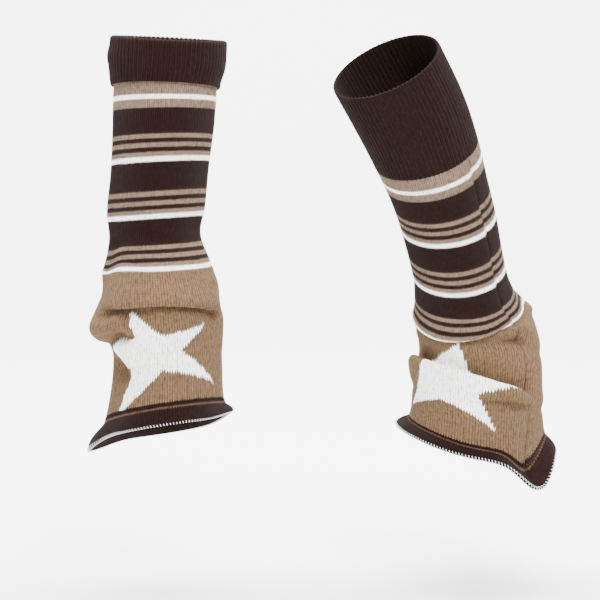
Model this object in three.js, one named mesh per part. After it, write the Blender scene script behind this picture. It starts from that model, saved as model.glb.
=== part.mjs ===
// A pair of knitted leg warmers as worn, slouched over the ankle. Sizes in mm, +Z up, -Y to the viewer.
// Each leg warmer is a ribbed cuff, a front and a back panel joined at two side seams, and a turned hem.
import * as THREE from "three";

// The knit: one course is a row of stitches, one wale a column of them.
const COURSE = 2.05;
const STRIPE_COURSES = 86;
const TAN_COURSES = 70;
const HEM_COURSES = 11;
const RIBS = 72;
const WALL = 2.5;
const RIB_RISE = 0.55;
const SEAM_GAP = 0.36;
const HEM_GAP = 0.6;

// Distances along the cloth, measured from the line where the cuff meets the panels.
const HEM_TOP = (STRIPE_COURSES + TAN_COURSES) * COURSE;
const HEM_LENGTH = HEM_COURSES * COURSE;

// The turned cuff: a second layer folded down outside the first.
const TURN_GAP = 0.45;
const TURN_LAP = 3;

// Mesh steps.
const PANEL_COLUMNS = 18;
const RING_COLUMNS = 36;

// Station columns: along, x, y, z, half width, half depth, pitch, roll, corner %, turn.
// Swell columns: angle, span, along, reach, out, rise.
// Crease columns: angle, span, along, slope, bow, width, bend. A bend over 90 folds the cloth back
// on itself; a positive one hangs the upper part over the lower, a negative one stands the lower up.
const LEFT = {
  cuffTop: -43,
  stations: [
    [-46, 1, 9, 25, 51, 49, 3, 3, 0, 0],
    [-20, -0.5, 9, 0, 51, 49.5, 0, 1, 0, 0],
    [0, -2.5, 8, -21, 48.5, 48.5, -2, -1, 0, 0],
    [40, -4.5, 6, -61, 47, 48, -3, -3, 0, 0],
    [80, -8, 4, -100, 45.5, 47, -3, -4, 0, 0],
    [115, -11.5, 2, -136, 45.5, 46, -3, -4, 0, 0],
    [144, -12.5, 0, -163, 42, 44, -2, -4, 0, 0],
    [176, -9.5, -4, -191, 50, 50, 0, -1, 0, 0],
    [200, -7, -8, -210, 53.5, 56, 0, -2, 0, 0],
    [222, -6.5, -9, -225, 54.5, 57, -1, -1, 0, 0],
    [250, -5, -9, -246, 56.5, 58, -3, -5, 0, 0],
    [285, -3, -8, -284, 53.5, 58, -8, -9, 0, 0],
    [320, -3, -6, -328, 54, 60, -12, -9, 2, 0],
    [346, -4, -5, -350, 60, 65, -12, -9, 4, 0],
  ],
  swells: [
    [-90, 40, 236, 20, 7, -3],
    [-60, 26, 290, 14, -5, 0],
    [-62, 16, 166, 16, 0, -4],
    [-95, 30, 166, 20, 3, -8],
    [-95, 26, 350, 24, 15, -10],
    [95, 32, 352, 18, 4, 9],
  ],
  frontCreases: [
    [6, 77, 210, 4, 24, 7, 150],
    [-92, 58, 260, -6, 0, 9, 54],
  ],
  backCreases: [
    [186, 80, 204, 6, 8, 8, 130],
    [180, 76, 258, -8, 5, 8, 110],
  ],
};

const RIGHT = {
  cuffTop: -94,
  stations: [
    [-96, 201.5, -89, -1.5, 50.7, 49, 25, -26, 0, -47],
    [-45, 225, -73, -45, 49.8, 49.5, 23, -23, 0, -47],
    [0, 241, -58, -81, 47.5, 47.5, 25, -18, 0, -47],
    [40, 253.5, -45, -115, 44.5, 46, 25, -14, 0, -47],
    [72, 263, -34, -145, 43.5, 45, 25, -10, 0, -46],
    [125, 275.5, -17, -196, 42.5, 44.5, 25, -6, 0, -44],
    [150, 280.5, -8, -216, 45.5, 46, 24, -4, 0, -44],
    [176, 287, 0, -232, 50, 50, 22, -4, 0, -45],
    [200, 293, 6, -249, 56, 56, 19, -2, 0, -45],
    [230, 296, 10, -274, 59, 60, 15, 2, 0, -44],
    [270, 296, 14, -309, 61.5, 62, 8, 5, 0, -43],
    [320, 296, 18, -346, 65, 64, 3, 6, 0, -43],
    [346, 296, 20, -361, 78, 77, 3, 7, 4, -43],
  ],
  swells: [
    [90, 22, 336, 34, -4, -29],
    [48, 46, 322, 26, 0, -9],
    [90, 26, 354, 20, 12, 0],
    [-40, 45, 350, 24, 4, 5],
    [122, 42, 194, 16, -1, 6],
    [100, 26, 168, 10, 3, 0],
    [8, 52, 176, 18, 1, -6],
  ],
  frontCreases: [
    [10, 84, 169, -5, 0, 4.6, 92],
    [15, 90, 228, 7, 36, 7, -130],
  ],
  backCreases: [
    [200, 74, 198, 8, 4, 8, 130],
    [205, 64, 252, -6, 6, 8, 110],
  ],
};

// Small helpers on angles, in degrees.
const rad = (degrees) => (degrees * Math.PI) / 180;
const wrapped = (degrees) => ((((degrees + 180) % 360) + 360) % 360) - 180;

// A smooth curve through the rows of a station table, at a distance along the cloth.
function stationAt(rows, along) {
  const last = rows.length - 1;
  const s = Math.min(Math.max(along, rows[0][0]), rows[last][0]);
  let i = 0;
  while (i < last - 1 && s >= rows[i + 1][0]) i += 1;
  const slope = (k, column) => {
    const before = rows[Math.max(0, k - 1)];
    const after = rows[Math.min(last, k + 1)];
    return (after[column] - before[column]) / (after[0] - before[0]);
  };
  const step = rows[i + 1][0] - rows[i][0];
  const u = (s - rows[i][0]) / step;
  const [u2, u3] = [u * u, u * u * u];
  return rows[i].slice(1).map((value, k) => {
    const start = (2 * u3 - 3 * u2 + 1) * value + (u3 - 2 * u2 + u) * step * slope(i, k + 1);
    const end = (3 * u2 - 2 * u3) * rows[i + 1][k + 1] + (u3 - u2) * step * slope(i + 1, k + 1);
    return start + end;
  });
}

// The line a crease follows: its distance along the cloth at an angle, and how strong it is there.
function creaseAt([angle, span, along, slope, bow], phi) {
  const turn = Math.min(1.2, Math.max(-1.2, wrapped(phi - angle) / span));
  const fade = 1 - Math.min(1, Math.max(0, (Math.abs(turn) - 0.55) / 0.45));
  return { along: along + slope * turn + bow * turn * turn, strength: fade * fade * (3 - 2 * fade) };
}

// The path of a folded cloth: it turns inward by a bend that grows and fades again over the width.
// Gives how far in it has gone, and how much height it has given up, since the fold's middle.
function foldPath(t, width, bend) {
  const steps = 24;
  const end = Math.max(-2.5 * width, Math.min(2.5 * width, t));
  const step = end / steps;
  let inward = 0;
  let saved = 0;
  for (let k = 0; k < steps; k += 1) {
    const turn = rad(bend) * Math.exp(-((((k + 0.5) * step) / width) ** 2));
    inward += Math.sin(turn) * step;
    saved += (1 - Math.cos(turn)) * step;
  }
  const fade = Math.exp(-((t / (3.2 * width)) ** 2));
  return [inward * fade, saved * fade];
}

// How far swells and creases move the cloth: outward, and up the leg.
function foldAt(leg, phi, s) {
  let outward = 0;
  let lift = 0;
  for (const [angle, span, along, reach, out, rise] of leg.swells) {
    const share = Math.exp(-((wrapped(phi - angle) / span) ** 2) - ((s - along) / reach) ** 2);
    outward += out * share;
    lift += rise * share;
  }
  for (const crease of [...leg.frontCreases, ...leg.backCreases]) {
    const { along, strength } = creaseAt(crease, phi);
    if (strength === 0) continue;
    const [width, bend] = crease.slice(5);
    const [inward, saved] = foldPath(s - along, width, bend * strength);
    outward -= inward;
    lift += saved;
  }
  return [outward, lift];
}

// The middle of the cloth at an angle round the leg (0 is the front's middle, +90 the right seam).
function clothMiddle(leg, phi, s, folded = true) {
  const [x, y, z, width, depth, pitch, roll, corner, turn] = stationAt(leg.stations, s);
  const [outward, lift] = folded ? foldAt(leg, phi, s) : [0, 0];
  const seam = Math.exp(-(((Math.abs(wrapped(phi)) - 90) / 18) ** 2));
  const swell = 1 + (corner * seam) / 100;
  const theta = rad(phi + turn);
  const point = new THREE.Vector3(
    (width * swell + outward) * Math.sin(theta),
    -(depth * swell + outward) * Math.cos(theta),
    lift,
  );
  point.applyAxisAngle(new THREE.Vector3(1, 0, 0), rad(pitch));
  point.applyAxisAngle(new THREE.Vector3(0, 1, 0), rad(roll));
  return point.add(new THREE.Vector3(x, y, z));
}

// A point at a height above the cloth's middle, measured square to the line down the leg.
function clothPoint(leg, phi, s, height) {
  const ahead = clothMiddle(leg, phi + 0.5, s, false);
  const across = ahead.sub(clothMiddle(leg, phi - 0.5, s, false));
  const down = clothMiddle(leg, phi, s + 0.4).sub(clothMiddle(leg, phi, s - 0.4));
  const normal = down.cross(across).normalize();
  return clothMiddle(leg, phi, s).addScaledVector(normal, height);
}

// Meshes are built from rings of points; this gathers points and triangles.
class Mesh {
  constructor() {
    this.points = [];
    this.triangles = [];
  }

  ring(points) {
    const start = this.points.length;
    this.points.push(...points);
    return points.map((_, i) => start + i);
  }

  // Joins two closed rings, which may have different counts, both starting at the same angle.
  join(a, b) {
    let [i, j] = [0, 0];
    while (i < a.length || j < b.length) {
      const [p, q] = [a[i % a.length], b[j % b.length]];
      if (j >= b.length || (i < a.length && (i + 1) / a.length <= (j + 1) / b.length + 1e-9)) {
        this.triangles.push([p, q, a[(i + 1) % a.length]]);
        i += 1;
      } else {
        this.triangles.push([p, q, b[(j + 1) % b.length]]);
        j += 1;
      }
    }
  }

  // Fills a thin ring made of an outer row followed by the same count of inner points in reverse.
  cap(ring) {
    const n = ring.length;
    for (let i = 0; i < n / 2 - 1; i += 1) {
      this.triangles.push([ring[i], ring[i + 1], ring[n - 1 - i]]);
      this.triangles.push([ring[i + 1], ring[n - 2 - i], ring[n - 1 - i]]);
    }
  }

  // The signed volume tells which way the faces look.
  volume() {
    const corner = (k) => this.points[k];
    return this.triangles.reduce((sum, [a, b, c]) => {
      return sum + corner(a).dot(corner(b).clone().cross(corner(c))) / 6;
    }, 0);
  }

  geometry() {
    const flip = this.volume() < 0;
    const order = this.triangles.flatMap(([a, b, c]) => (flip ? [a, c, b] : [a, b, c]));
    const geometry = new THREE.BufferGeometry();
    const flat = this.points.flatMap((point) => point.toArray());
    geometry.setAttribute("position", new THREE.Float32BufferAttribute(flat, 3));
    geometry.setIndex(order);
    geometry.computeVertexNormals();
    return geometry;
  }
}

const evenly = (count, from, to) => {
  return Array.from({ length: count + 1 }, (_, i) => from + ((to - from) * i) / count);
};

// Panels.
// Where a fold's middle runs: along the front crease, then over to the back one past the seams.
function foldLevel([front, behind], phi) {
  const angle = wrapped(phi);
  if (Math.abs(angle) <= 90) return creaseAt(front, angle).along;
  const nearSeam = Math.max(0, 1 - (Math.abs(angle) - 90) / 30);
  const atSeam = creaseAt(front, angle > 0 ? 90 : -90).along;
  return creaseAt(behind, phi).along * (1 - nearSeam) + atSeam * nearSeam;
}

// The lines that the panels' rows follow: square to the leg, or along the creases through the folds.
// Front and back share them, so the two panels meet row for row at the seams.
function panelLines(leg) {
  const offsets = [-15, -9.5, -6.5, -4, -1.4, 1.4, 4, 6.5, 9.5, 15];
  const lines = [() => SEAM_GAP / 2];
  const fillTo = (next, spacing) => {
    const before = lines[lines.length - 1];
    const count = Math.max(1, Math.round((next(0) - before(0)) / spacing));
    for (let k = 1; k <= count; k += 1) {
      lines.push((phi) => before(phi) + ((next(phi) - before(phi)) * k) / count);
    }
  };
  leg.frontCreases.forEach((front, k) => {
    const follow = (offset) => (phi) => foldLevel([front, leg.backCreases[k]], phi) + offset;
    fillTo(follow(offsets[0]), 21);
    lines.push(...offsets.slice(1).map(follow));
  });
  fillTo(() => HEM_TOP - HEM_GAP / 2, 16);
  return lines;
}

// Half of the tube between the two side seams, a wall thick, with its edges squared off.
function makePanel(leg, middle) {
  const mesh = new Mesh();
  const radius = leg.stations[4][4];
  const half = 90 - ((SEAM_GAP / 2 / radius) * 180) / Math.PI;
  const angles = evenly(PANEL_COLUMNS, middle - half, middle + half);
  const rings = panelLines(leg).map((line) => {
    const outer = angles.map((phi) => clothPoint(leg, phi, line(phi), WALL / 2));
    const inner = angles.map((phi) => clothPoint(leg, phi, line(phi), -WALL / 2));
    return mesh.ring([...outer, ...inner.reverse()]);
  });
  for (let k = 0; k < rings.length - 1; k += 1) mesh.join(rings[k], rings[k + 1]);
  mesh.cap(rings[0]);
  mesh.cap([...rings[rings.length - 1]].reverse());
  return mesh.geometry();
}

// Rings.
// A ring round the leg; ribs raise every other point and sink the ones between.
function ringRound(mesh, leg, { s, height, count = RING_COLUMNS, rib = 0 }) {
  const points = Array.from({ length: count }, (_, i) => {
    const phi = -180 + (360 * i) / count;
    const along = typeof s === "function" ? s(phi) : s;
    return clothPoint(leg, phi, along, height + (i % 2 ? -rib : rib) / 2);
  });
  return mesh.ring(points);
}

// A closed profile carried right round the leg.
function makeRing(leg, profile) {
  const mesh = new Mesh();
  const rings = profile.map((row) => ringRound(mesh, leg, row));
  rings.forEach((ring, k) => mesh.join(ring, rings[(k + 1) % rings.length]));
  return mesh.geometry();
}

// The right cuff stands at its full height, ribbed outside and plain inside.
function makeTallCuff(leg) {
  const top = leg.cuffTop;
  const face = { height: WALL / 2, count: RIBS * 2, rib: RIB_RISE };
  const lining = { height: -WALL / 2 };
  return makeRing(leg, [
    { ...lining, s: -SEAM_GAP / 2 },
    { ...lining, s: top * 0.33 },
    { ...lining, s: top * 0.66 },
    { ...lining, s: top + 1.2 },
    { s: top, height: 0 },
    { ...face, s: top + 1.2 },
    { ...face, s: top * 0.66 },
    { ...face, s: top * 0.33 },
    { ...face, s: -SEAM_GAP / 2 },
  ]);
}

// The left cuff is folded down in half, so a second ribbed layer hangs over the first.
function makeTurnedCuff(leg) {
  const top = leg.cuffTop;
  const inner = WALL / 2 + TURN_GAP;
  const outer = inner + WALL;
  const edge = (back) => (phi) => {
    return TURN_LAP - 1.3 * Math.cos(rad(phi)) + 1.2 * Math.sin(rad(phi)) - back;
  };
  const face = { height: outer, count: RIBS * 2, rib: RIB_RISE };
  return makeRing(leg, [
    { s: -SEAM_GAP / 2, height: -WALL / 2 },
    { s: top * 0.5, height: -WALL / 2 },
    { s: top + 2.5, height: -WALL / 2 },
    { s: top + 0.4, height: 0 },
    { s: top - 0.6, height: (outer - WALL / 2) / 2 },
    { ...face, s: top + 0.6, height: outer - 0.7, rib: RIB_RISE / 2 },
    { ...face, s: top + 3 },
    { ...face, s: top * 0.5 },
    { ...face, s: edge(0.9) },
    { s: edge(0), height: (inner + outer) / 2 + 0.3 },
    { s: edge(0.5), height: inner },
    { s: -SEAM_GAP / 2, height: inner },
  ]);
}

// The hem is turned in and stitched, so it is a soft band about two layers thick.
function makeHem(leg) {
  // Columns: share of the hem's length below its top, height above the cloth's middle.
  const profile = [
    [HEM_GAP / 2 / HEM_LENGTH, 1.25],
    [0.2, 1.35],
    [0.44, 2],
    [0.68, 2.3],
    [0.88, 1.7],
    [0.985, 0.2],
    [0.975, -1.2],
    [0.85, -2.2],
    [0.59, -2.3],
    [0.34, -1.5],
    [HEM_GAP / 2 / HEM_LENGTH, -1.25],
  ];
  const row = ([share, height]) => ({ s: HEM_TOP + share * HEM_LENGTH, height });
  return makeRing(leg, profile.map(row));
}

const KNIT = {
  brown: { color: 0x3a2420, roughness: 0.95 },
  tan: { color: 0xa08262, roughness: 0.95 },
};

function piece(name, geometry, material) {
  const mesh = new THREE.Mesh(geometry, new THREE.MeshStandardMaterial(material));
  mesh.name = name;
  return mesh;
}

const pair = new THREE.Group();
pair.name = "leg_warmers";
pair.add(
  piece("left_cuff", makeTurnedCuff(LEFT), KNIT.brown),
  piece("left_front", makePanel(LEFT, 0), KNIT.tan),
  piece("left_back", makePanel(LEFT, 180), KNIT.tan),
  piece("left_hem", makeHem(LEFT), KNIT.brown),
  piece("right_cuff", makeTallCuff(RIGHT), KNIT.brown),
  piece("right_front", makePanel(RIGHT, 0), KNIT.tan),
  piece("right_back", makePanel(RIGHT, 180), KNIT.tan),
  piece("right_hem", makeHem(RIGHT), KNIT.brown),
);

export default pair;
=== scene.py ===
"""A pair of knitted leg warmers as worn: ribbed cuffs, stripes, a star, slouched folds and flared hems."""

import math

import bmesh
import bpy
import numpy as np
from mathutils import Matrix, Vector


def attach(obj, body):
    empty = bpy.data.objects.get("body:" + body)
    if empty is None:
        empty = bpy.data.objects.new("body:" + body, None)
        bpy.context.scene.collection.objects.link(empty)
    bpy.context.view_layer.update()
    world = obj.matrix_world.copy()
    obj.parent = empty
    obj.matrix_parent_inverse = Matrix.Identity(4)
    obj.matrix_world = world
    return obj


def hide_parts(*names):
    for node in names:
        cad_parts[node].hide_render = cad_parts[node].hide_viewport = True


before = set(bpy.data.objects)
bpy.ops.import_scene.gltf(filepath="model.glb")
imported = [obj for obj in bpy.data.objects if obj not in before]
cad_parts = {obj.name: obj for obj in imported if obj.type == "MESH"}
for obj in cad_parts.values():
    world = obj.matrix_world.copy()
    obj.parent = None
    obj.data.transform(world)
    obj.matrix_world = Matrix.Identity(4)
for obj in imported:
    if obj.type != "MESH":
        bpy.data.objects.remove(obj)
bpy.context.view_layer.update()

bl_info = {
    "name": "Slouched Leg Warmers",
    "version": (1, 0, 0),
    "blender": (4, 5, 0),
    "location": "3D View > Sidebar > Leg Warmers",
    "description": "Knitted leg warmers with ribbed cuffs, stripes, a star and slouched folds",
    "category": "Add Mesh",
}

MM = 0.001

# The knit in counts: courses are rows of stitches and wales are columns of them.
PANEL_COURSES = 156
PANEL_WALES = 72
RIBS = 72

# The radius in mm at which creases and seams are measured round the leg, and the gap at a joint.
MEAN_RADIUS = 52
JOINT_GAP = 0.1
# The turned cuff, in mm: the radius of its turn, how far it laps over its joint and how far it draws
# the joint up the leg. Columns: all round, more in front, more at the right.
TURN_RADIUS = 1.5
TURN_LAP = (0.2, -3.6, 2.0)
JOINT_RISE = (3.5, 1.3, -1.0)
# The drawn-up stripes come back to their own places over this stretch below the joint.
DRAWN_FROM = 50
DRAWN_OVER = 60
# The star's wales, on the stretched cloth, and the slanted line that ends a left arm.
STAR_WALE = 2.55
LINE_SLANT = 0.42
LINE_TOP = 5.0

# Where each yarn's band ends, in courses below the cuff.
BANDS = (
    (6, "beige"),
    (8, "white"),
    (12, "beige"),
    (24, "brown"),
    (26, "beige"),
    (28, "brown"),
    (30, "beige"),
    (32, "brown"),
    (34, "beige"),
    (36, "white"),
    (49, "brown"),
    (51, "beige"),
    (53, "brown"),
    (55, "beige"),
    (57, "brown"),
    (59, "beige"),
    (61, "white"),
    (74, "brown"),
    (76, "beige"),
    (78, "brown"),
    (80, "beige"),
    (82, "brown"),
    (84, "beige"),
    (86, "white"),
    (155, "tan"),
    (157, "brown"),
    # The line is tan yarn, darkened as painted shade of the groove where the panels meet the hem.
    (158, "line"),
    (170, "brown"),
)

# The two legs, in mm. Distances along the cloth start where the cuff meets the panels.
# Station columns: along, x, y, z, half width, half depth, pitch, roll, corner %, turn.
# Swell columns: angle, span, along, reach, out, rise.
# Fold columns: angle, span, along, slope, bow, width, bend. A bend over 90 folds the cloth back
# on itself; a positive one hangs the upper part over the lower, a negative one stands the lower up.
# Crease columns: angle, along, length, slant, curve, width, depth. A negative depth is a ridge.
# Star columns: angle, along, half width, half height, waist %, flare %, tilt, lean %, skew %, bow,
# sag, top %, left.
# As the slouched cloth does, the flare spreads the lower arms, the lean shears them, the skew fills the
# left notches, the bow carries the top and the foot aside and the sag lowers the ends of the side arms.
# The top arm is knitted up to its top share, and the left arm up to a slanted line that passes the
# centre at its left distance.
LEFT = {
    "name": "left",
    "cuff_top": -43.0,
    "turned": True,
    "stations": (
        (-46, 1, 9, 25, 51, 49, 3, 3, 0, 0),
        (-20, -0.5, 9, 0, 51, 49.5, 0, 1, 0, 0),
        (0, -2.5, 8, -21, 48.5, 48.5, -2, -1, 0, 0),
        (40, -4.5, 6, -61, 47, 48, -3, -3, 0, 0),
        (80, -8, 4, -100, 45.5, 47, -3, -4, 0, 0),
        (115, -11.5, 2, -136, 45.5, 46, -3, -4, 0, 0),
        (144, -12.5, 0, -163, 42, 44, -2, -4, 0, 0),
        (176, -9.5, -4, -191, 50, 50, 0, -1, 0, 0),
        (200, -7, -8, -210, 53.5, 56, 0, -2, 0, 0),
        (222, -6.5, -9, -225, 54.5, 57, -1, -1, 0, 0),
        (250, -5, -9, -246, 56.5, 58, -3, -5, 0, 0),
        (285, -3, -8, -284, 53.5, 58, -8, -9, 0, 0),
        (320, -3, -6, -328, 54, 60, -12, -9, 2, 0),
        (346, -4, -5, -350, 60, 65, -12, -9, 4, 0),
    ),
    "swells": (
        (0, 999, -2, 10, -0.8, 0),
        (-80, 30, -27, 7, 1.8, 0),
        (-90, 40, 236, 20, 7, -3),
        (-60, 26, 290, 14, -5, 0),
        (-62, 16, 166, 16, 0, -4),
        (-95, 30, 166, 20, 3, -8),
        (-95, 26, 350, 24, 15, -10),
        (95, 32, 352, 18, 4, 9),
        (95, 28, 331, 8, 4, 0),
        (-95, 28, 334, 8, 4, 0),
    ),
    "folds": (
        (6, 77, 210, 4, 24, 7, 150),
        (-88, 58, 258, -6, 0, 8, 78),
        (186, 80, 204, 6, 8, 8, 130),
        (180, 76, 258, -8, 5, 8, 110),
    ),
    "creases": (
        (-50, 256, 50, 8, 0.001, 7, 9.0),
        (-54, 284, 40, 24, 0.003, 8, 7.5),
        (-5, 213, 84, 2, 0, 3.5, 2.0),
        (-30, 232, 60, 6, 0.001, 6, 1.2),
        (14, 278, 60, 14, 0.002, 4, 1.0),
        (20, 150, 54, 8, 0.001, 6, 0.9),
        (-58, 150, 34, -16, 0.002, 5, 1.6),
        (-30, 166, 34, 14, 0.002, 4, 1.3),
        (64, 176, 44, 16, 0, 5, 1.2),
        (66, 244, 40, -30, 0.002, 7, 1.6),
        (150, 226, 70, -8, 0.001, 6, 1.6),
        (-150, 178, 60, 10, 0.001, 6, 1.4),
        (130, 288, 50, 14, 0.002, 7, 1.4),
        (-140, 296, 54, -12, 0.002, 7, 1.5),
        (175, 158, 60, 4, 0.001, 6, 1.1),
    ),
    "star": (-4, 272.8, 73.5, 49.5, 37, 42, 8, -28, 16, -9, 2, 83, 200),
}
RIGHT = {
    "name": "right",
    "cuff_top": -94.0,
    "turned": False,
    "stations": (
        (-96, 201.5, -89, -1.5, 50.7, 49, 25, -26, 0, -47),
        (-45, 225, -73, -45, 49.8, 49.5, 23, -23, 0, -47),
        (0, 241, -58, -81, 47.5, 47.5, 25, -18, 0, -47),
        (40, 253.5, -45, -115, 44.5, 46, 25, -14, 0, -47),
        (72, 263, -34, -145, 43.5, 45, 25, -10, 0, -46),
        (125, 275.5, -17, -196, 42.5, 44.5, 25, -6, 0, -44),
        (150, 280.5, -8, -216, 45.5, 46, 24, -4, 0, -44),
        (176, 287, 0, -232, 50, 50, 22, -4, 0, -45),
        (200, 293, 6, -249, 56, 56, 19, -2, 0, -45),
        (230, 296, 10, -274, 59, 60, 15, 2, 0, -44),
        (270, 296, 14, -309, 61.5, 62, 8, 5, 0, -43),
        (320, 296, 18, -346, 65, 64, 3, 6, 0, -43),
        (346, 296, 20, -361, 78, 77, 3, 7, 4, -43),
    ),
    "swells": (
        (90, 22, 336, 34, -4, -29),
        (48, 46, 322, 26, 0, -9),
        (90, 26, 354, 20, 12, 0),
        (-40, 45, 350, 24, 4, 5),
        (122, 42, 194, 16, -1, 6),
        (100, 26, 168, 10, 3, 0),
        (8, 52, 176, 18, 1, -6),
    ),
    "folds": (
        (10, 84, 176.5, -5, 0, 4.6, 92),
        (15, 90, 228, 7, 36, 7, -130),
        (200, 74, 198, 8, 4, 8, 130),
        (205, 64, 252, -6, 6, 8, 110),
    ),
    "creases": (
        (88, 199, 30, 36, 0.004, 6, 8.0),
        (69, 269, 50, 12, 0.002, 5, 5.2),
        (70, 192, 40, 20, 0.002, 6, 1.6),
        (62, 244, 44, 16, 0.002, 6, 1.5),
        (-4, 204, 50, -6, 0.002, 7, 1.5),
        (-30, 214, 40, -14, 0.002, 7, 1.4),
        (-50, 276, 44, -10, 0.001, 7, 1.3),
        (40, 186, 60, 4, 0.001, 5, 1.2),
        (30, 150, 50, 10, 0.001, 6, 1.0),
        (150, 224, 70, -8, 0.001, 6, 1.6),
        (-150, 178, 60, 10, 0.001, 6, 1.4),
        (130, 288, 50, 14, 0.002, 7, 1.4),
        (-140, 296, 54, -12, 0.002, 7, 1.5),
        (175, 158, 60, 4, 0.001, 6, 1.1),
    ),
    "star": (8.6, 242.7, 81.6, 56, 49, 9, -1.5, 14, 20, 7, 30, 100, 26),
}
LEGS = (LEFT, RIGHT)


# Settings that a user would change.
def length_setting(name, description, default):
    """A length in metres."""
    return bpy.props.FloatProperty(
        name=name, description=description, default=default, unit="LENGTH", precision=5
    )


def colour_setting(name, description, default):
    """A yarn's colour."""
    return bpy.props.FloatVectorProperty(
        name=name, description=description, default=default, size=3, subtype="COLOR"
    )


class KnitSizes(bpy.types.PropertyGroup):
    """Sizes of the stitches and the cloth."""

    course: length_setting("Course", "Height of one stitch", 2.05 * MM)
    wale: length_setting("Wale", "Width of one stitch", 2.4 * MM)
    wall: length_setting("Wall", "Thickness of the knit", 2.4 * MM)
    rib_rise: length_setting("Rib rise", "Height of the cuff's ribs", 1.1 * MM)
    wale_rise: length_setting("Wale rise", "Height of one column of stitches", 0.42 * MM)
    seam_dip: length_setting("Seam dip", "Depth of the groove at a side seam", 0.8 * MM)
    thread: length_setting("Thread", "Thickness of the overlock thread", 0.65 * MM)
    overlock_pitch: length_setting("Overlock pitch", "From stitch to stitch", 3.2 * MM)


class YarnColours(bpy.types.PropertyGroup):
    """Colours of the yarns and the thread."""

    brown: colour_setting("Brown", "Cuffs, hems and dark stripes", (0.0085, 0.0031, 0.0024))
    beige: colour_setting("Beige", "Pale stripes", (0.127, 0.088, 0.063))
    white: colour_setting("White", "White stripes and the star", (0.9, 0.885, 0.87))
    tan: colour_setting("Tan", "The lower part", (0.098, 0.0605, 0.0315))
    # The line's colour is tan darkened with painted shade, the shade of the groove above the hem.
    line: colour_setting("Line", "The thin line over the hem", (0.062, 0.033, 0.02))
    thread: colour_setting("Thread", "Overlock thread", (0.82, 0.82, 0.82))


class StageSettings(bpy.types.PropertyGroup):
    """The floor, the light and the camera."""

    floor_height: bpy.props.FloatProperty(
        name="Floor height", description="Height of the floor", default=-0.5, unit="LENGTH"
    )
    distance: bpy.props.FloatProperty(
        name="Camera distance", description="From the camera to its target", default=2.0, unit="LENGTH"
    )
    elevation: bpy.props.FloatProperty(
        name="Elevation", description="Camera angle above level", default=math.radians(5.5), subtype="ANGLE"
    )
    lens: bpy.props.FloatProperty(
        name="Lens", description="Focal length on a 36 mm sensor", default=126.0, unit="CAMERA"
    )
    light: bpy.props.FloatProperty(
        name="Key light", description="Power of the main light", default=172.0, unit="POWER"
    )


# The cloth's surface.
def wrapped(degrees):
    """Angles brought to between -180 and 180."""
    return (degrees + 180.0) % 360.0 - 180.0


def station_at(rows, along):
    """Smooth curves through a station table's columns, at distances along the cloth."""
    table = np.array(rows, float)
    last = len(table) - 1
    s = np.clip(along, table[0, 0], table[last, 0])
    i = np.clip(np.searchsorted(table[:, 0], s, side="right") - 1, 0, last - 1)
    before = table[np.clip(np.arange(last + 1) - 1, 0, last)]
    after = table[np.clip(np.arange(last + 1) + 1, 0, last)]
    slopes = (after - before) / (after[:, :1] - before[:, :1])
    step = (table[i + 1, 0] - table[i, 0])[:, None]
    u = (s - table[i, 0])[:, None] / step
    start = (2 * u**3 - 3 * u**2 + 1) * table[i] + (u**3 - 2 * u**2 + u) * step * slopes[i]
    end = (3 * u**2 - 2 * u**3) * table[i + 1] + (u**3 - u**2) * step * slopes[i + 1]
    return (start + end)[:, 1:].T


def fold_path(t, width, bend):
    """How far a folded cloth has gone inward, and the height it has given up, past the fold's middle."""
    steps = 24
    step = np.clip(t, -2.5 * width, 2.5 * width) / steps
    inward = np.zeros_like(t)
    saved = np.zeros_like(t)
    for k in range(steps):
        turn = np.radians(bend) * np.exp(-((((k + 0.5) * step) / width) ** 2))
        inward += np.sin(turn) * step
        saved += (1 - np.cos(turn)) * step
    fade = np.exp(-((t / (3.2 * width)) ** 2))
    return inward * fade, saved * fade


def fold_at(leg, phi, s):
    """How far swells and folds move the cloth: outward, and up the leg."""
    outward = np.zeros_like(phi)
    lift = np.zeros_like(phi)
    for angle, span, along, reach, out, rise in leg["swells"]:
        share = np.exp(-((wrapped(phi - angle) / span) ** 2) - ((s - along) / reach) ** 2)
        outward += out * share
        lift += rise * share
    for angle, span, along, slope, bow, width, bend in leg["folds"]:
        turn = np.clip(wrapped(phi - angle) / span, -1.2, 1.2)
        fade = 1 - np.clip((np.abs(turn) - 0.55) / 0.45, 0, 1)
        strength = fade * fade * (3 - 2 * fade)
        line = along + slope * turn + bow * turn * turn
        inward, saved = fold_path(s - line, width, bend * strength)
        outward -= inward
        lift += saved
    return outward, lift


def cloth_middle(leg, phi, s, folded=True):
    """The middle of the cloth at an angle round the leg: 0 is the front's middle, 90 the right seam."""
    x, y, z, width, depth, pitch, roll, corner, turn = station_at(leg["stations"], s)
    outward, lift = fold_at(leg, phi, s) if folded else (0 * phi, 0 * phi)
    swell = 1 + corner / 100 * np.exp(-(((np.abs(wrapped(phi)) - 90) / 18) ** 2))
    theta = np.radians(phi + turn)
    px = (width * swell + outward) * np.sin(theta)
    py = -(depth * swell + outward) * np.cos(theta)
    pitch, roll = np.radians(pitch), np.radians(roll)
    py, pz = py * np.cos(pitch) - lift * np.sin(pitch), py * np.sin(pitch) + lift * np.cos(pitch)
    px, pz = px * np.cos(roll) + pz * np.sin(roll), pz * np.cos(roll) - px * np.sin(roll)
    return np.stack([px + x, py + y, pz + z], axis=1)


def cloth_normal(leg, phi, s):
    """The cloth's outward direction, square to the line down the leg."""
    across = cloth_middle(leg, phi + 0.5, s, False) - cloth_middle(leg, phi - 0.5, s, False)
    down = cloth_middle(leg, phi, s + 0.4) - cloth_middle(leg, phi, s - 0.4)
    normal = np.cross(down, across)
    return normal / np.linalg.norm(normal, axis=1, keepdims=True)


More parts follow.
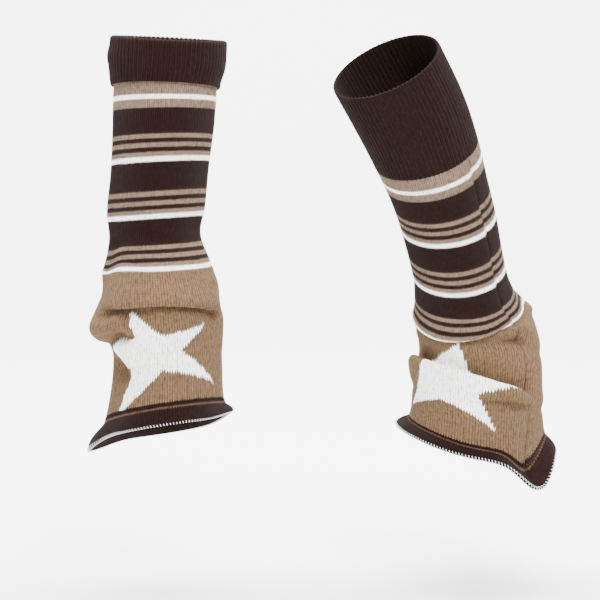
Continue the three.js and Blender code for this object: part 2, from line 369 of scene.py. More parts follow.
def cloth_point(leg, phi, s, height):
    """A point at a height above the cloth's middle, in metres."""
    return (cloth_middle(leg, phi, s) + cloth_normal(leg, phi, s) * height[:, None]) * MM


def crease_depth(leg, phi, s):
    """How deep the small creases press into the cloth."""
    depth = np.zeros_like(phi)
    for angle, along, length, slant, curve, width, deep in leg["creases"]:
        x = np.radians(wrapped(phi - angle)) * MEAN_RADIUS
        y = s - along
        lean = math.radians(slant)
        run = x * math.cos(lean) + y * math.sin(lean)
        off = y * math.cos(lean) - x * math.sin(lean) - curve * run * run
        fade = np.exp(-((2 * run / length) ** 2))
        trough = np.exp(-((off / width) ** 2))
        ridge = 0.45 * np.exp(-(((off + 1.9 * width) / width) ** 2))
        depth += deep * fade * (trough - ridge)
    return depth


def seam_dip(phi, deep):
    """The groove at the two side seams."""
    away = np.radians(np.abs(np.abs(wrapped(phi)) - 90)) * MEAN_RADIUS
    return deep * np.exp(-((away / 1.7) ** 2)) + 0.35 * deep * np.exp(-((away / 5) ** 2))


# Meshes and objects.
def cloth_mesh(name, columns, rows, place, closed=False):
    """A grid whose points are placed by their shares across and down, with the stitches as its UV map."""
    bm = bmesh.new()
    bmesh.ops.create_grid(bm, x_segments=columns, y_segments=rows, size=0.5)
    share = np.array([vert.co[:2] for vert in bm.verts]) + 0.5
    points, stitches = place(share[:, 0], 1 - share[:, 1])
    uv = bm.loops.layers.uv.new("knit")
    for vert, point, stitch in zip(bm.verts, points, stitches):
        vert.co = point
        for loop in vert.link_loops:
            loop[uv].uv = stitch
    if closed:
        bmesh.ops.remove_doubles(bm, verts=bm.verts, dist=1e-6)
    for face in bm.faces:
        face.smooth = True
    mesh = bpy.data.meshes.new(name)
    bm.to_mesh(mesh)
    bm.free()
    return mesh


def add_piece(name, data, materials, node=None):
    """Adds a piece to the scene, riding on the frame and standing for its CAD node."""
    piece = bpy.data.objects.new(name, data)
    bpy.context.collection.objects.link(piece)
    for material in materials:
        data.materials.append(material)
    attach(piece, "root")
    if node:
        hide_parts(node)
    return piece


def thicken(piece, wall):
    """Gives a sheet its thickness on both sides of its middle."""
    solidify = piece.modifiers.new("Wall", "SOLIDIFY")
    solidify.thickness = wall
    solidify.offset = 0.0
    solidify.use_rim = True
    solidify.material_offset = 1
    solidify.material_offset_rim = 0
    return solidify


def thread_curve(name, points, thickness, material):
    """A closed thread through points, as a round tube."""
    curve = bpy.data.curves.new(name, "CURVE")
    curve.dimensions = "3D"
    curve.bevel_depth = thickness / 2
    curve.bevel_resolution = 1
    curve.resolution_u = 2
    spline = curve.splines.new("NURBS")
    spline.points.add(len(points) - 1)
    spline.points.foreach_set("co", np.column_stack([points, np.ones(len(points))]).ravel())
    spline.use_cyclic_u = True
    spline.order_u = 3
    return add_piece(name, curve, [material])


# Node helpers.
def new_tree_node(tree, kind, links=None, **values):
    """A node with its properties and the given sockets linked or set."""
    node = tree.nodes.new(kind)
    for key, value in values.items():
        setattr(node, key, value)
    for key, value in (links or {}).items():
        if isinstance(value, bpy.types.NodeSocket):
            tree.links.new(value, node.inputs[key])
        else:
            node.inputs[key].default_value = value
    return node


def maths(tree, operation, a, b=0.0, clamp=False):
    """The output of a Math node."""
    node = new_tree_node(tree, "ShaderNodeMath", {0: a, 1: b}, operation=operation, use_clamp=clamp)
    return node.outputs[0]


def mixed(tree, factor, a, b, blend="MIX"):
    """The colour output of a Mix node."""
    node = new_tree_node(tree, "ShaderNodeMix", data_type="RGBA", blend_type=blend)
    for key, value in ((0, factor), (6, a), (7, b)):
        if isinstance(value, bpy.types.NodeSocket):
            tree.links.new(value, node.inputs[key])
        else:
            node.inputs[key].default_value = value if key == 0 else (*value[:3], 1)
    return node.outputs[2]


def new_group(name, inputs, outputs):
    """A node group with named sockets, given as (name, type, default)."""
    tree = bpy.data.node_groups.new(name, "ShaderNodeTree")
    for socket_name, kind, default in inputs:
        socket = tree.interface.new_socket(socket_name, in_out="INPUT", socket_type=kind)
        if default is not None:
            socket.default_value = default
    for socket_name, kind in outputs:
        tree.interface.new_socket(socket_name, in_out="OUTPUT", socket_type=kind)
    source = tree.nodes.new("NodeGroupInput")
    sink = tree.nodes.new("NodeGroupOutput")
    return tree, source, sink


def use_group(tree, group, **values):
    """A group placed in a material, with its inputs linked or set by name."""
    node = tree.nodes.new("ShaderNodeGroup")
    node.node_tree = group
    for key, value in values.items():
        name = key.replace("_", " ")
        if isinstance(value, bpy.types.NodeSocket):
            tree.links.new(value, node.inputs[name])
        else:
            node.inputs[name].default_value = value
    return node


FLOAT, VECTOR, COLOUR = "NodeSocketFloat", "NodeSocketVector", "NodeSocketColor"


# Node groups that the knits share.
def stitch_group():
    """Plain knit: V stitches, with the course and wale that each point belongs to."""
    tree, source, sink = new_group(
        "Plain Knit",
        [("Stitches", VECTOR, None)],
        [("Height", FLOAT), ("Course", FLOAT), ("Wale", FLOAT), ("Level", FLOAT)],
    )
    parts = new_tree_node(tree, "ShaderNodeSeparateXYZ", {0: source.outputs["Stitches"]})
    across, down = parts.outputs[0], parts.outputs[1]
    inside = maths(tree, "FRACT", across)
    spread = maths(tree, "MULTIPLY", maths(tree, "ABSOLUTE", maths(tree, "SUBTRACT", inside, 0.5)), 2.0)
    slanted = maths(tree, "ADD", down, maths(tree, "MULTIPLY", spread, 0.8))
    level = maths(tree, "ADD", down, maths(tree, "MULTIPLY", maths(tree, "SUBTRACT", spread, 0.5), 1.7))
    half = maths(tree, "FRACT", maths(tree, "MULTIPLY", across, 2.0))
    leg = maths(tree, "SINE", maths(tree, "MULTIPLY", half, math.pi))
    bulge = maths(tree, "SINE", maths(tree, "MULTIPLY", maths(tree, "FRACT", slanted), math.pi))
    leg_round = maths(tree, "ADD", maths(tree, "MULTIPLY", maths(tree, "POWER", leg, 0.6), 0.5), 0.5)
    bulge_round = maths(tree, "ADD", maths(tree, "MULTIPLY", maths(tree, "POWER", bulge, 0.5), 0.5), 0.5)
    ridge = maths(tree, "SUBTRACT", 1.0, maths(tree, "MULTIPLY", maths(tree, "POWER", spread, 2.5), 0.65))
    shaped = maths(tree, "MULTIPLY", maths(tree, "MULTIPLY", leg_round, bulge_round), ridge)
    tree.links.new(shaped, sink.inputs["Height"])
    ragged = new_tree_node(
        tree,
        "ShaderNodeTexNoise",
        {"Vector": source.outputs["Stitches"], "Scale": 2.2, "Detail": 2.0},
        noise_dimensions="2D",
    )
    loose = maths(tree, "MULTIPLY", maths(tree, "SUBTRACT", ragged.outputs[0], 0.5), 1.3)
    tree.links.new(maths(tree, "FLOOR", maths(tree, "ADD", slanted, loose)), sink.inputs["Course"])
    tree.links.new(maths(tree, "FLOOR", across), sink.inputs["Wale"])
    tree.links.new(level, sink.inputs["Level"])
    return tree


def yarn_group():
    """Heathered yarn: the colour varies stitch by stitch and fibre by fibre, and painted shade darkens the
    low parts of each stitch, between the wales.
    """
    tree, source, sink = new_group(
        "Heathered Yarn With Painted Shade",
        [
            ("Colour", COLOUR, (0.5, 0.5, 0.5, 1)),
            ("Stitches", VECTOR, None),
            ("Height", FLOAT, 1.0),
            ("Heather", FLOAT, 0.3),
            ("Shade", FLOAT, 0.5),
        ],
        [("Colour", COLOUR), ("Fuzz", FLOAT)],
    )
    stitches = source.outputs["Stitches"]
    stretched = new_tree_node(tree, "ShaderNodeMapping", {"Vector": stitches, "Scale": (0.9, 0.45, 1.0)})
    flecks = new_tree_node(
        tree,
        "ShaderNodeTexNoise",
        {"Vector": stretched.outputs[0], "Scale": 1.0, "Detail": 1.5, "Roughness": 0.7},
        noise_dimensions="2D",
    )
    fibres = new_tree_node(
        tree,
        "ShaderNodeTexNoise",
        {"Vector": stitches, "Scale": 5.0, "Detail": 3.0, "Roughness": 0.8},
        noise_dimensions="2D",
    )
    wear = new_tree_node(
        tree,
        "ShaderNodeTexNoise",
        {"Vector": stitches, "Scale": 0.06, "Detail": 2.0},
        noise_dimensions="2D",
    )
    fleck = maths(tree, "SUBTRACT", flecks.outputs[0], 0.5)
    fibre = maths(tree, "SUBTRACT", fibres.outputs[0], 0.5)
    cloud = maths(tree, "MULTIPLY", maths(tree, "SUBTRACT", wear.outputs[0], 0.5), 0.7)
    change = maths(tree, "ADD", maths(tree, "MULTIPLY", fleck, 3.4), maths(tree, "MULTIPLY", fibre, 0.9))
    level = maths(tree, "MULTIPLY", maths(tree, "ADD", change, cloud), source.outputs["Heather"])
    # Painted shade: the colour is darker where the stitch's relief is low, in the valleys between the wales.
    above_middle = maths(tree, "SUBTRACT", source.outputs["Height"], 0.56)
    painted_shade = maths(tree, "MULTIPLY", above_middle, source.outputs["Shade"])
    gain = maths(tree, "MAXIMUM", maths(tree, "ADD", maths(tree, "ADD", level, painted_shade), 1.0), 0.15)
    scale = new_tree_node(
        tree, "ShaderNodeVectorMath", {0: source.outputs["Colour"], "Scale": gain}, operation="SCALE"
    )
    tree.links.new(scale.outputs[0], sink.inputs["Colour"])
    tree.links.new(fibres.outputs[0], sink.inputs["Fuzz"])
    return tree


def star_group():
    """A five-pointed star in mm on the cloth, knitted wale by wale, so that its edges are toothed."""
    tree, source, sink = new_group(
        "Five Pointed Star",
        [
            ("Wale", FLOAT, 0.0),
            ("Course", FLOAT, 0.0),
            ("Centre Wale", FLOAT, 0.0),
            ("Centre Course", FLOAT, 0.0),
            ("Wale Width", FLOAT, 2.5),
            ("Course Height", FLOAT, 2.05),
            ("Half Width", FLOAT, 60.0),
            ("Half Height", FLOAT, 60.0),
            ("Waist", FLOAT, 0.4),
            ("Flare", FLOAT, 0.0),
            ("Lean", FLOAT, 0.0),
            ("Skew", FLOAT, 0.0),
            ("Bow", FLOAT, 0.0),
            ("Sag", FLOAT, 0.0),
            ("Tilt", FLOAT, 0.0),
            ("Top", FLOAT, 1.0),
            ("Left", FLOAT, 200.0),
        ],
        [("Mask", FLOAT)],
    )
    get = source.outputs
    x = maths(tree, "MULTIPLY", maths(tree, "SUBTRACT", get["Wale"], get["Centre Wale"]), get["Wale Width"])
    chance = new_tree_node(tree, "ShaderNodeTexWhiteNoise", {"W": get["Wale"]}, noise_dimensions="1D")
    uneven = maths(tree, "MULTIPLY", maths(tree, "SUBTRACT", chance.outputs[0], 0.5), 0.9)
    level = maths(tree, "ADD", get["Course"], uneven)
    y = maths(tree, "MULTIPLY", maths(tree, "SUBTRACT", get["Centre Course"], level), get["Course Height"])
    # The cloth's own distortions are taken off one after the other: tilt, sag, lean, bow and flare.
    cosine, sine = maths(tree, "COSINE", get["Tilt"]), maths(tree, "SINE", get["Tilt"])
    turned_x = maths(tree, "ADD", maths(tree, "MULTIPLY", x, cosine), maths(tree, "MULTIPLY", y, sine))
    level_y = maths(tree, "SUBTRACT", maths(tree, "MULTIPLY", y, cosine), maths(tree, "MULTIPLY", x, sine))
    side = maths(tree, "DIVIDE", turned_x, get["Half Width"])
    sagged = maths(tree, "MULTIPLY", get["Sag"], maths(tree, "MULTIPLY", side, side))
    turned_y = maths(tree, "ADD", level_y, sagged)
    unit_y = maths(tree, "DIVIDE", turned_y, get["Half Height"])
    leaned_x = maths(tree, "SUBTRACT", turned_x, maths(tree, "MULTIPLY", turned_y, get["Lean"]))
    bowed = maths(tree, "MULTIPLY", get["Bow"], maths(tree, "MULTIPLY", unit_y, unit_y))
    upright_x = maths(tree, "SUBTRACT", leaned_x, bowed)
    spread = maths(tree, "SUBTRACT", 1.0, maths(tree, "MULTIPLY", unit_y, get["Flare"]))
    reach = maths(tree, "MULTIPLY", get["Half Width"], maths(tree, "MAXIMUM", spread, 0.2))
    unit_x = maths(tree, "DIVIDE", upright_x, reach)
    # One fifth of the star, folded on its arm's middle, is a straight edge from the tip to the notch.
    fifth = 2 * math.pi / 5
    arms = maths(tree, "DIVIDE", maths(tree, "ARCTAN2", unit_x, unit_y), fifth)
    turn = maths(tree, "FRACT", maths(tree, "ADD", arms, 0.5))
    from_arm = maths(tree, "ABSOLUTE", maths(tree, "SUBTRACT", turn, 0.5))
    folded = maths(tree, "MULTIPLY", from_arm, fifth)
    squared_x = maths(tree, "MULTIPLY", unit_x, unit_x)
    squared_y = maths(tree, "MULTIPLY", unit_y, unit_y)
    radius = maths(tree, "SQRT", maths(tree, "ADD", squared_x, squared_y))
    along = maths(tree, "MULTIPLY", radius, maths(tree, "COSINE", folded))
    aside = maths(tree, "MULTIPLY", radius, maths(tree, "SINE", folded))
    slimmer = maths(tree, "SUBTRACT", get["Waist"], maths(tree, "MULTIPLY", unit_x, get["Skew"]))
    waist = maths(tree, "MINIMUM", maths(tree, "MAXIMUM", slimmer, 0.2), 0.8)
    notch_aside = maths(tree, "MULTIPLY", waist, math.sin(fifth / 2))
    notch_short = maths(tree, "SUBTRACT", 1.0, maths(tree, "MULTIPLY", waist, math.cos(fifth / 2)))
    far = maths(tree, "MULTIPLY", along, notch_aside)
    wide = maths(tree, "MULTIPLY", aside, notch_short)
    inside = maths(tree, "LESS_THAN", maths(tree, "ADD", far, wide), notch_aside)
    below_top = maths(tree, "LESS_THAN", unit_y, get["Top"])
    slant = maths(tree, "MULTIPLY", maths(tree, "MINIMUM", y, LINE_TOP), LINE_SLANT)
    past_line = maths(tree, "ADD", maths(tree, "SUBTRACT", x, slant), get["Left"])
    kept = maths(tree, "MULTIPLY", below_top, maths(tree, "GREATER_THAN", past_line, 0.0))
    tree.links.new(maths(tree, "MULTIPLY", inside, kept), sink.inputs["Mask"])
    return tree


# Materials.
def new_material(name):
    """A material with a plain cloth shader, and its tree."""
    material = bpy.data.materials.new(name)
    material.use_nodes = True
    shader = material.node_tree.nodes["Principled BSDF"]
    shader.inputs["Roughness"].default_value = 0.9
    shader.inputs["Specular IOR Level"].default_value = 0.05
    shader.inputs["Sheen Weight"].default_value = 0.02
    shader.inputs["Sheen Roughness"].default_value = 0.55
    return material, material.node_tree, shader


def stitch_map(tree):
    """The piece's own UV map, counted in wales across and courses down."""
    return new_tree_node(tree, "ShaderNodeUVMap", uv_map="knit").outputs[0]


def sunk_and_shaded_at_seams(tree, stitches, height):
    """A knit's relief, lower where the two side seams pull it in; as the relief also sets the yarn's painted
    shade, each seam gets a dark painted shadow line.
    """
    across = new_tree_node(tree, "ShaderNodeSeparateXYZ", {0: stitches}).outputs[0]
    turn = maths(tree, "FRACT", maths(tree, "DIVIDE", across, float(PANEL_WALES)))
    from_middle = maths(tree, "ABSOLUTE", maths(tree, "SUBTRACT", turn, 0.5))
    away = maths(tree, "MULTIPLY", maths(tree, "SUBTRACT", 0.5, from_middle), float(PANEL_WALES))
    # Near a seam the relief drops, and with it the colour: a painted shadow line in the seam groove, besides
    # the lower bump.
    open_share = maths(tree, "DIVIDE", away, 0.7, clamp=True)
    return maths(tree, "MULTIPLY", height, maths(tree, "POWER", open_share, 0.5))


def finish_knit(tree, shader, colour, height, fuzz, distance):
    """Feeds a knit's colour, roughness and relief to its shader."""
    relief = maths(tree, "ADD", height, maths(tree, "MULTIPLY", fuzz, 0.35))
    bump = new_tree_node(tree, "ShaderNodeBump", {"Height": relief, "Distance": distance, "Strength": 0.8})
    tree.links.new(colour, shader.inputs["Base Color"])
    tree.links.new(bump.outputs[0], shader.inputs["Normal"])
    rough = maths(tree, "ADD", maths(tree, "MULTIPLY", fuzz, 0.15), 0.8, clamp=True)
    tree.links.new(rough, shader.inputs["Roughness"])


def band_span(yarn):
    """The first course of a yarn's last band, and the one after its end."""
    ends = [0] + [end for end, _ in BANDS]
    k = max(i for i, (_, name) in enumerate(BANDS) if name == yarn)
    return ends[k], ends[k + 1]


def band_colours(tree, course, colours):
    """The stripes: a ramp with one step for each band of yarn."""
    total = BANDS[-1][0]
    share = maths(tree, "DIVIDE", maths(tree, "ADD", course, 0.5), float(total))
    ramp = new_tree_node(tree, "ShaderNodeValToRGB", {0: share})
    ramp.color_ramp.interpolation = "CONSTANT"
    stops = ramp.color_ramp.elements
    stops.remove(stops[1])
    start = 0
    for k, (end, yarn) in enumerate(BANDS):
        stop = stops[0] if k == 0 else stops.new(start / total)
        stop.color = (*getattr(colours, yarn), 1)
        start = end
    return ramp.outputs[0]


def striped_knit(name, groups, colours, sizes, star=None):
    """The panels' knit: stripes by course, then tan, and the star where there is one."""
    material, tree, shader = new_material(name)
    stitches = stitch_map(tree)
    knit = use_group(tree, groups["stitch"], Stitches=stitches)
    colour = band_colours(tree, knit.outputs["Course"], colours)
    # This relief lowers the bump at the seams and, through the yarn's painted shade, paints a shadow line
    # along each seam.
    height = sunk_and_shaded_at_seams(tree, stitches, knit.outputs["Height"])
    if star:
        angle, along, half_width, half_height, waist, flare, tilt, lean, skew, bow, sag, top, left = star
        mask = use_group(
            tree,
            groups["star"],
            Wale=knit.outputs["Wale"],
            Course=knit.outputs["Level"],
            Centre_Wale=PANEL_WALES / 2 + angle * PANEL_WALES / 180 - 0.5,
            Centre_Course=along * MM / sizes.course,
            Wale_Width=STAR_WALE,
            Course_Height=sizes.course / MM,
            Half_Width=half_width,
            Half_Height=half_height,
            Waist=waist / 100,
            Flare=flare / 100,
            Lean=lean / 100,
            Skew=skew / 100,
            Bow=bow,
            Sag=sag,
            Top=top / 100,
            Left=left,
            Tilt=math.radians(tilt),
        ).outputs["Mask"]
        first, last = band_span("tan")
        from_middle = maths(tree, "SUBTRACT", knit.outputs["Course"], (first + last - 1) / 2)
        off_middle = maths(tree, "ABSOLUTE", from_middle)
        in_band = maths(tree, "LESS_THAN", off_middle, (last - first) / 2)
        colour = mixed(tree, maths(tree, "MULTIPLY", mask, in_band), colour, colours.white)
    yarn = use_group(
        tree,
        groups["yarn"],
        Colour=colour,
        Stitches=stitches,
        Height=height,
        Heather=0.42,
        # Strength of the painted shade in the low parts of the stitches.
        Shade=1.5,
    )
    finish_knit(tree, shader, yarn.outputs["Colour"], height, yarn.outputs["Fuzz"], 0.8 * MM)
    return material


def star_knit(leg, groups, colours, sizes):
    """The front panel's knit, with the leg's own star."""
    return striped_knit(f"Star Knit {leg['name'].title()}", groups, colours, sizes, leg["star"])


def plain_knit(name, groups, colour):
    """A knit of one yarn."""
    material, tree, shader = new_material(name)
    stitches = stitch_map(tree)
    knit = use_group(tree, groups["stitch"], Stitches=stitches)
    yarn = use_group(
        tree,
        groups["yarn"],
        Colour=(*colour, 1),
        Stitches=stitches,
        Height=knit.outputs["Height"],
        Heather=0.36,
        # Strength of the painted shade in the low parts of the stitches.
        Shade=1.5,
    )
    finish_knit(tree, shader, yarn.outputs["Colour"], knit.outputs["Height"], yarn.outputs["Fuzz"], 0.7 * MM)
    return material


def thread_material(colour):
    """Slightly glossy sewing thread with its twist."""
    material, tree, shader = new_material("White Overlock Thread")
    place = new_tree_node(tree, "ShaderNodeTexCoord").outputs["Object"]
    twist = new_tree_node(
        tree, "ShaderNodeTexWave", {"Vector": place, "Scale": 900.0, "Distortion": 3.0, "Detail": 1.0}
    )
    shade = maths(tree, "ADD", maths(tree, "MULTIPLY", twist.outputs["Fac"], 0.3), 0.8, clamp=True)
    tinted = new_tree_node(tree, "ShaderNodeVectorMath", {0: (*colour,), "Scale": shade}, operation="SCALE")
    tree.links.new(tinted.outputs[0], shader.inputs["Base Color"])
    bump = new_tree_node(tree, "ShaderNodeBump", {"Height": twist.outputs["Fac"], "Distance": 0.1 * MM})
    tree.links.new(bump.outputs[0], shader.inputs["Normal"])
    shader.inputs["Roughness"].default_value = 0.55
    return material


def shared_groups():
    """The node groups, made once."""
    makers = (("stitch", "Plain Knit", stitch_group), ("yarn", "Heathered Yarn With Painted Shade", yarn_group))
    makers += (("star", "Five Pointed Star", star_group),)
    return {key: bpy.data.node_groups.get(name) or make() for key, name, make in makers}


def shared_material(name, make):
    """A material by name, made the first time."""
    return bpy.data.materials.get(name) or make()


def yarn_materials(context):
    """The materials that more than one piece uses."""
    groups = shared_groups()
    colours = context.scene.leg_colours
    sizes = context.scene.leg_knit
    return {
        "back": shared_material("Striped Knit", lambda: striped_knit("Striped Knit", groups, colours, sizes)),
        "brown": shared_material("Brown Knit", lambda: plain_knit("Brown Knit", groups, colours.brown)),
        "thread": shared_material("White Overlock Thread", lambda: thread_material(colours.thread)),
        **{
            leg["name"]: shared_material(
                f"Star Knit {leg['name'].title()}",
                lambda leg=leg: star_knit(leg, groups, colours, sizes),
            )
            for leg in LEGS
        },
    }


# Pieces.
def row_levels(leg, length, count):
    """Distances down a panel, closer together where the cloth folds."""
    s = np.linspace(0, length, 400)
    density = np.ones_like(s)
    for _, _, along, _, _, _, _ in leg["folds"]:
        density += 1.4 * np.exp(-(((s - along) / 20) ** 2))
    total = np.concatenate([[0], np.cumsum((density[1:] + density[:-1]) / 2)])
    return np.interp(np.linspace(0, total[-1], count), total, s)


def uneven_round(terms, phi):
    """A measure that changes evenly round the leg."""
    even, front, right = terms
    return even + front * np.cos(np.radians(phi)) + right * np.sin(np.radians(phi))


def joint_rise(leg, phi):
    """How far the turned cuff draws its joint with the panels up the leg, in mm."""
    return uneven_round(JOINT_RISE, phi) if leg["turned"] else 0 * phi


def make_panel(leg, middle, sizes):
    """Half of the tube between the two side seams: columns of stitches, creases and a groove at each seam."""
    length = PANEL_COURSES * sizes.course / MM
    shares = np.linspace(0, 1, 1000)
    levels = row_levels(leg, length - 1.2 * JOINT_GAP, len(shares))
    shift = 0.0 if middle == 0 else 1.0

    def place(across, down):
        phi = middle + (across - 0.5) * 179.8
        s = JOINT_GAP + np.interp(down, shares, levels)
        wale = across * PANEL_WALES
        rise = sizes.wale_rise / MM * (np.abs(np.sin(np.pi * wale)) - 0.6)
        stitches = np.column_stack([wale, s * MM / sizes.course + shift])
        drawn_up = 0.5 + 0.5 * np.cos(np.pi * np.clip((s - DRAWN_FROM) / DRAWN_OVER, 0, 1))
        s = s - joint_rise(leg, phi) * drawn_up
        height = rise - crease_depth(leg, phi, s) - seam_dip(phi, sizes.seam_dip / MM)
        return cloth_point(leg, phi, s, height), stitches

    side = "front" if middle == 0 else "back"
    return cloth_mesh(f"{leg['name']}_{side}_knit", 2 * PANEL_WALES, 210, place)


def rib_rise(phi, rise):
    """The cuff's one-and-one rib: round ridges with narrow valleys."""
    wave = np.cos(np.radians(phi) * RIBS)
    return rise / 2 * np.sign(wave) * np.abs(wave) ** 0.8


def turned_path(leg, distance, phi):
    """The turned cuff's section: up, over and down outside. Gives along, height, and the way outward."""
    straight = -leg["cuff_top"]
    turn = np.clip((distance - straight) / TURN_RADIUS, 0, np.pi)
    past = np.clip(distance - straight - np.pi * TURN_RADIUS, 0, None)
    past = past * (straight + uneven_round(TURN_LAP, phi)) / straight
    joint = joint_rise(leg, phi)
    inner = np.clip(distance, 0, straight) * (1 - joint / straight)
    along = -joint - inner - TURN_RADIUS * np.sin(turn) + past
    height = TURN_RADIUS * (1 - np.cos(turn))
    return along, height, -np.sin(turn), -np.cos(turn)


def make_cuff(leg, sizes):
    """A ribbed tube: tall on the right leg, and turned down in half on the left one."""
    reach = -leg["cuff_top"]
    length = 2 * reach + np.pi * TURN_RADIUS if leg["turned"] else reach
    rise = sizes.rib_rise / MM

    def place(across, down):
        phi = -180 + 360 * across
        distance = length * (1 - down)
        ribs = rib_rise(phi, rise) * np.clip(0.3 + (length - distance) / 3, 0, 1)
        dip = seam_dip(phi, sizes.seam_dip / MM) * 0.5
        if leg["turned"]:
            along, height, aside, out = turned_path(leg, distance, phi)
            along = along + aside * (ribs - dip)
            height = height + out * (ribs - dip)
        else:
            edge = np.clip(1 - (length - distance) / 2.5, 0, 1) * 0.35
            along = -distance + edge * np.cos(np.radians(phi) * RIBS)
            height = ribs - dip
        stitches = np.column_stack([across * 2 * PANEL_WALES, distance * MM / sizes.course])
        return cloth_point(leg, phi, along, height), stitches

    rows = 74 if leg["turned"] else 62
    return cloth_mesh(f"{leg['name']}_cuff_knit", 6 * RIBS, rows, place, closed=True)


# The hem's section: distance below the panels and height above the cloth's middle, in mm.
HEM_SECTION = (
    (0.02, 1.15),
    (1.6, 0.95),
    (3.2, 0.75),
    (5.4, 1.5),
    (10.0, 2.1),
    (14.6, 2.3),
    (18.6, 2.0),
    (21.4, 1.2),
    (22.4, 0.0),
    (21.8, -1.2),
    (19.4, -2.0),
    (13.4, -2.1),
    (7.8, -1.5),
    (0.02, -1.2),
)


def hem_section(turn):
    """A point on the hem's rounded section, by its share of the way round."""
    rows = np.array([*HEM_SECTION, HEM_SECTION[0]])
    steps = np.concatenate([[0], np.cumsum(np.linalg.norm(np.diff(rows, axis=0), axis=1))])
    at = turn * steps[-1]
    return np.interp(at, steps, rows[:, 0]), np.interp(at, steps, rows[:, 1])


def make_hem(leg, sizes):
    """The turned hem: a soft band, with the two side seams running through it."""
    top = PANEL_COURSES * sizes.course / MM

    def place(across, down):
        phi = -180 + 360 * across
        below, height = hem_section(1 - down)
        outer = np.clip(height, 0, 1)
        wale = (across - 0.25) * 2 * PANEL_WALES
        rise = sizes.wale_rise / MM * (np.abs(np.sin(np.pi * wale)) - 0.5)
        dip = seam_dip(phi, sizes.seam_dip / MM)
        ripple = 0.3 * np.sin(np.radians(phi) * 9)
        height = height + outer * (rise - dip + ripple)
        stitches = np.column_stack([wale, PANEL_COURSES + below * MM / sizes.course])
        return cloth_point(leg, phi, top + below, height), stitches

    return cloth_mesh(f"{leg['name']}_hem_knit", 4 * PANEL_WALES, 44, place, closed=True)


# Overlock stitch columns: share of a stitch, distance below the panels and height above the cloth's
# middle, in mm. Only the short bite over the edge shows; the rest runs inside the hem.
OVERLOCK = (
    (0.0, 20.6, 0.9),
    (0.08, 21.3, 1.85),
    (0.16, 22.3, 1.2),
    (0.24, 22.95, 0.0),
    (0.3, 22.2, -1.1),
    (0.38, 20.0, -0.6),
    (0.7, 17.0, -0.6),
    (0.9, 18.6, 0.0),
)
# The looper's chain on the inside of the edge, in the same columns.
LOOPER = (
    (0.0, 20.6, -2.1),
    (0.25, 21.4, -1.9),
    (0.5, 20.6, -2.2),
    (0.75, 21.4, -1.9),
)


def hem_stitches(leg, sizes):
    """The number of overlock stitches that go round a leg's hem."""
    _, _, _, _, width, depth, *_ = leg["stations"][-1]
    return round(math.pi * (width + depth) * MM / sizes.overlock_pitch)


def thread_points(leg, table, sizes):
    """A thread's points all round the hem, from one stitch's table."""
    top = PANEL_COURSES * sizes.course / MM
    count = hem_stitches(leg, sizes)
    stitch = np.repeat(np.arange(count), len(table))
    share, below, height = np.tile(np.array(table), (count, 1)).T
    phi = -180 + 360 * (stitch + share) / count
    return cloth_point(leg, phi, top + below, height)


# Operators.
class LEGWARMERS_OT_cuffs(bpy.types.Operator):
    """Knit the two ribbed cuffs"""

    bl_idname = "legwarmers.cuffs"
    bl_label = "Ribbed Cuffs"

    def execute(self, context):
        sizes = context.scene.leg_knit
        materials = yarn_materials(context)
        for leg in LEGS:
            node = f"{leg['name']}_cuff"
            piece = add_piece(f"{node}_knit", make_cuff(leg, sizes), [materials["brown"]] * 2, node)
            thicken(piece, sizes.wall * 0.85)
        return {"FINISHED"}


class LEGWARMERS_OT_panels(bpy.types.Operator):
    """Knit the front and back panels with their stripes and the star"""

    bl_idname = "legwarmers.panels"
    bl_label = "Front and Back Panels"

    def execute(self, context):
        sizes = context.scene.leg_knit
        materials = yarn_materials(context)
        for leg in LEGS:
            for side, middle, look in (("front", 0, leg["name"]), ("back", 180, "back")):
                node = f"{leg['name']}_{side}"
                piece = add_piece(f"{node}_knit", make_panel(leg, middle, sizes), [materials[look]] * 2, node)
                thicken(piece, sizes.wall)
        return {"FINISHED"}


class LEGWARMERS_OT_hems(bpy.types.Operator):
    """Knit the turned hems"""

    bl_idname = "legwarmers.hems"
    bl_label = "Turned Hems"

    def execute(self, context):
        sizes = context.scene.leg_knit
        materials = yarn_materials(context)
        for leg in LEGS:
            node = f"{leg['name']}_hem"
            piece = add_piece(f"{node}_knit", make_hem(leg, sizes), [materials["back"]], node)
        return {"FINISHED"}


class LEGWARMERS_OT_overlock(bpy.types.Operator):
    """Sew the white overlock stitches round the hems"""

    bl_idname = "legwarmers.overlock"
    bl_label = "Overlock Stitches"

    def execute(self, context):
        sizes = context.scene.leg_knit
        thread = yarn_materials(context)["thread"]
        for leg in LEGS:
            for name, table, share in (("overlock", OVERLOCK, 1.0), ("looper", LOOPER, 0.6)):
                points = thread_points(leg, table, sizes)
                piece = thread_curve(f"{leg['name']}_{name}_thread", points, share * sizes.thread, thread)
        return {"FINISHED"}


class LEGWARMERS_OT_stage(bpy.types.Operator):
    """Set the pale floor, the soft light and the camera"""

    bl_idname = "legwarmers.stage"
    bl_label = "Stage"

    def execute(self, context):
        settings = context.scene.leg_stage
        add_floor(settings)
        add_lights(context, settings)
        add_camera(context, settings)
        return {"FINISHED"}


# The stage.
TARGET = (0.125, 0.0, -0.223)


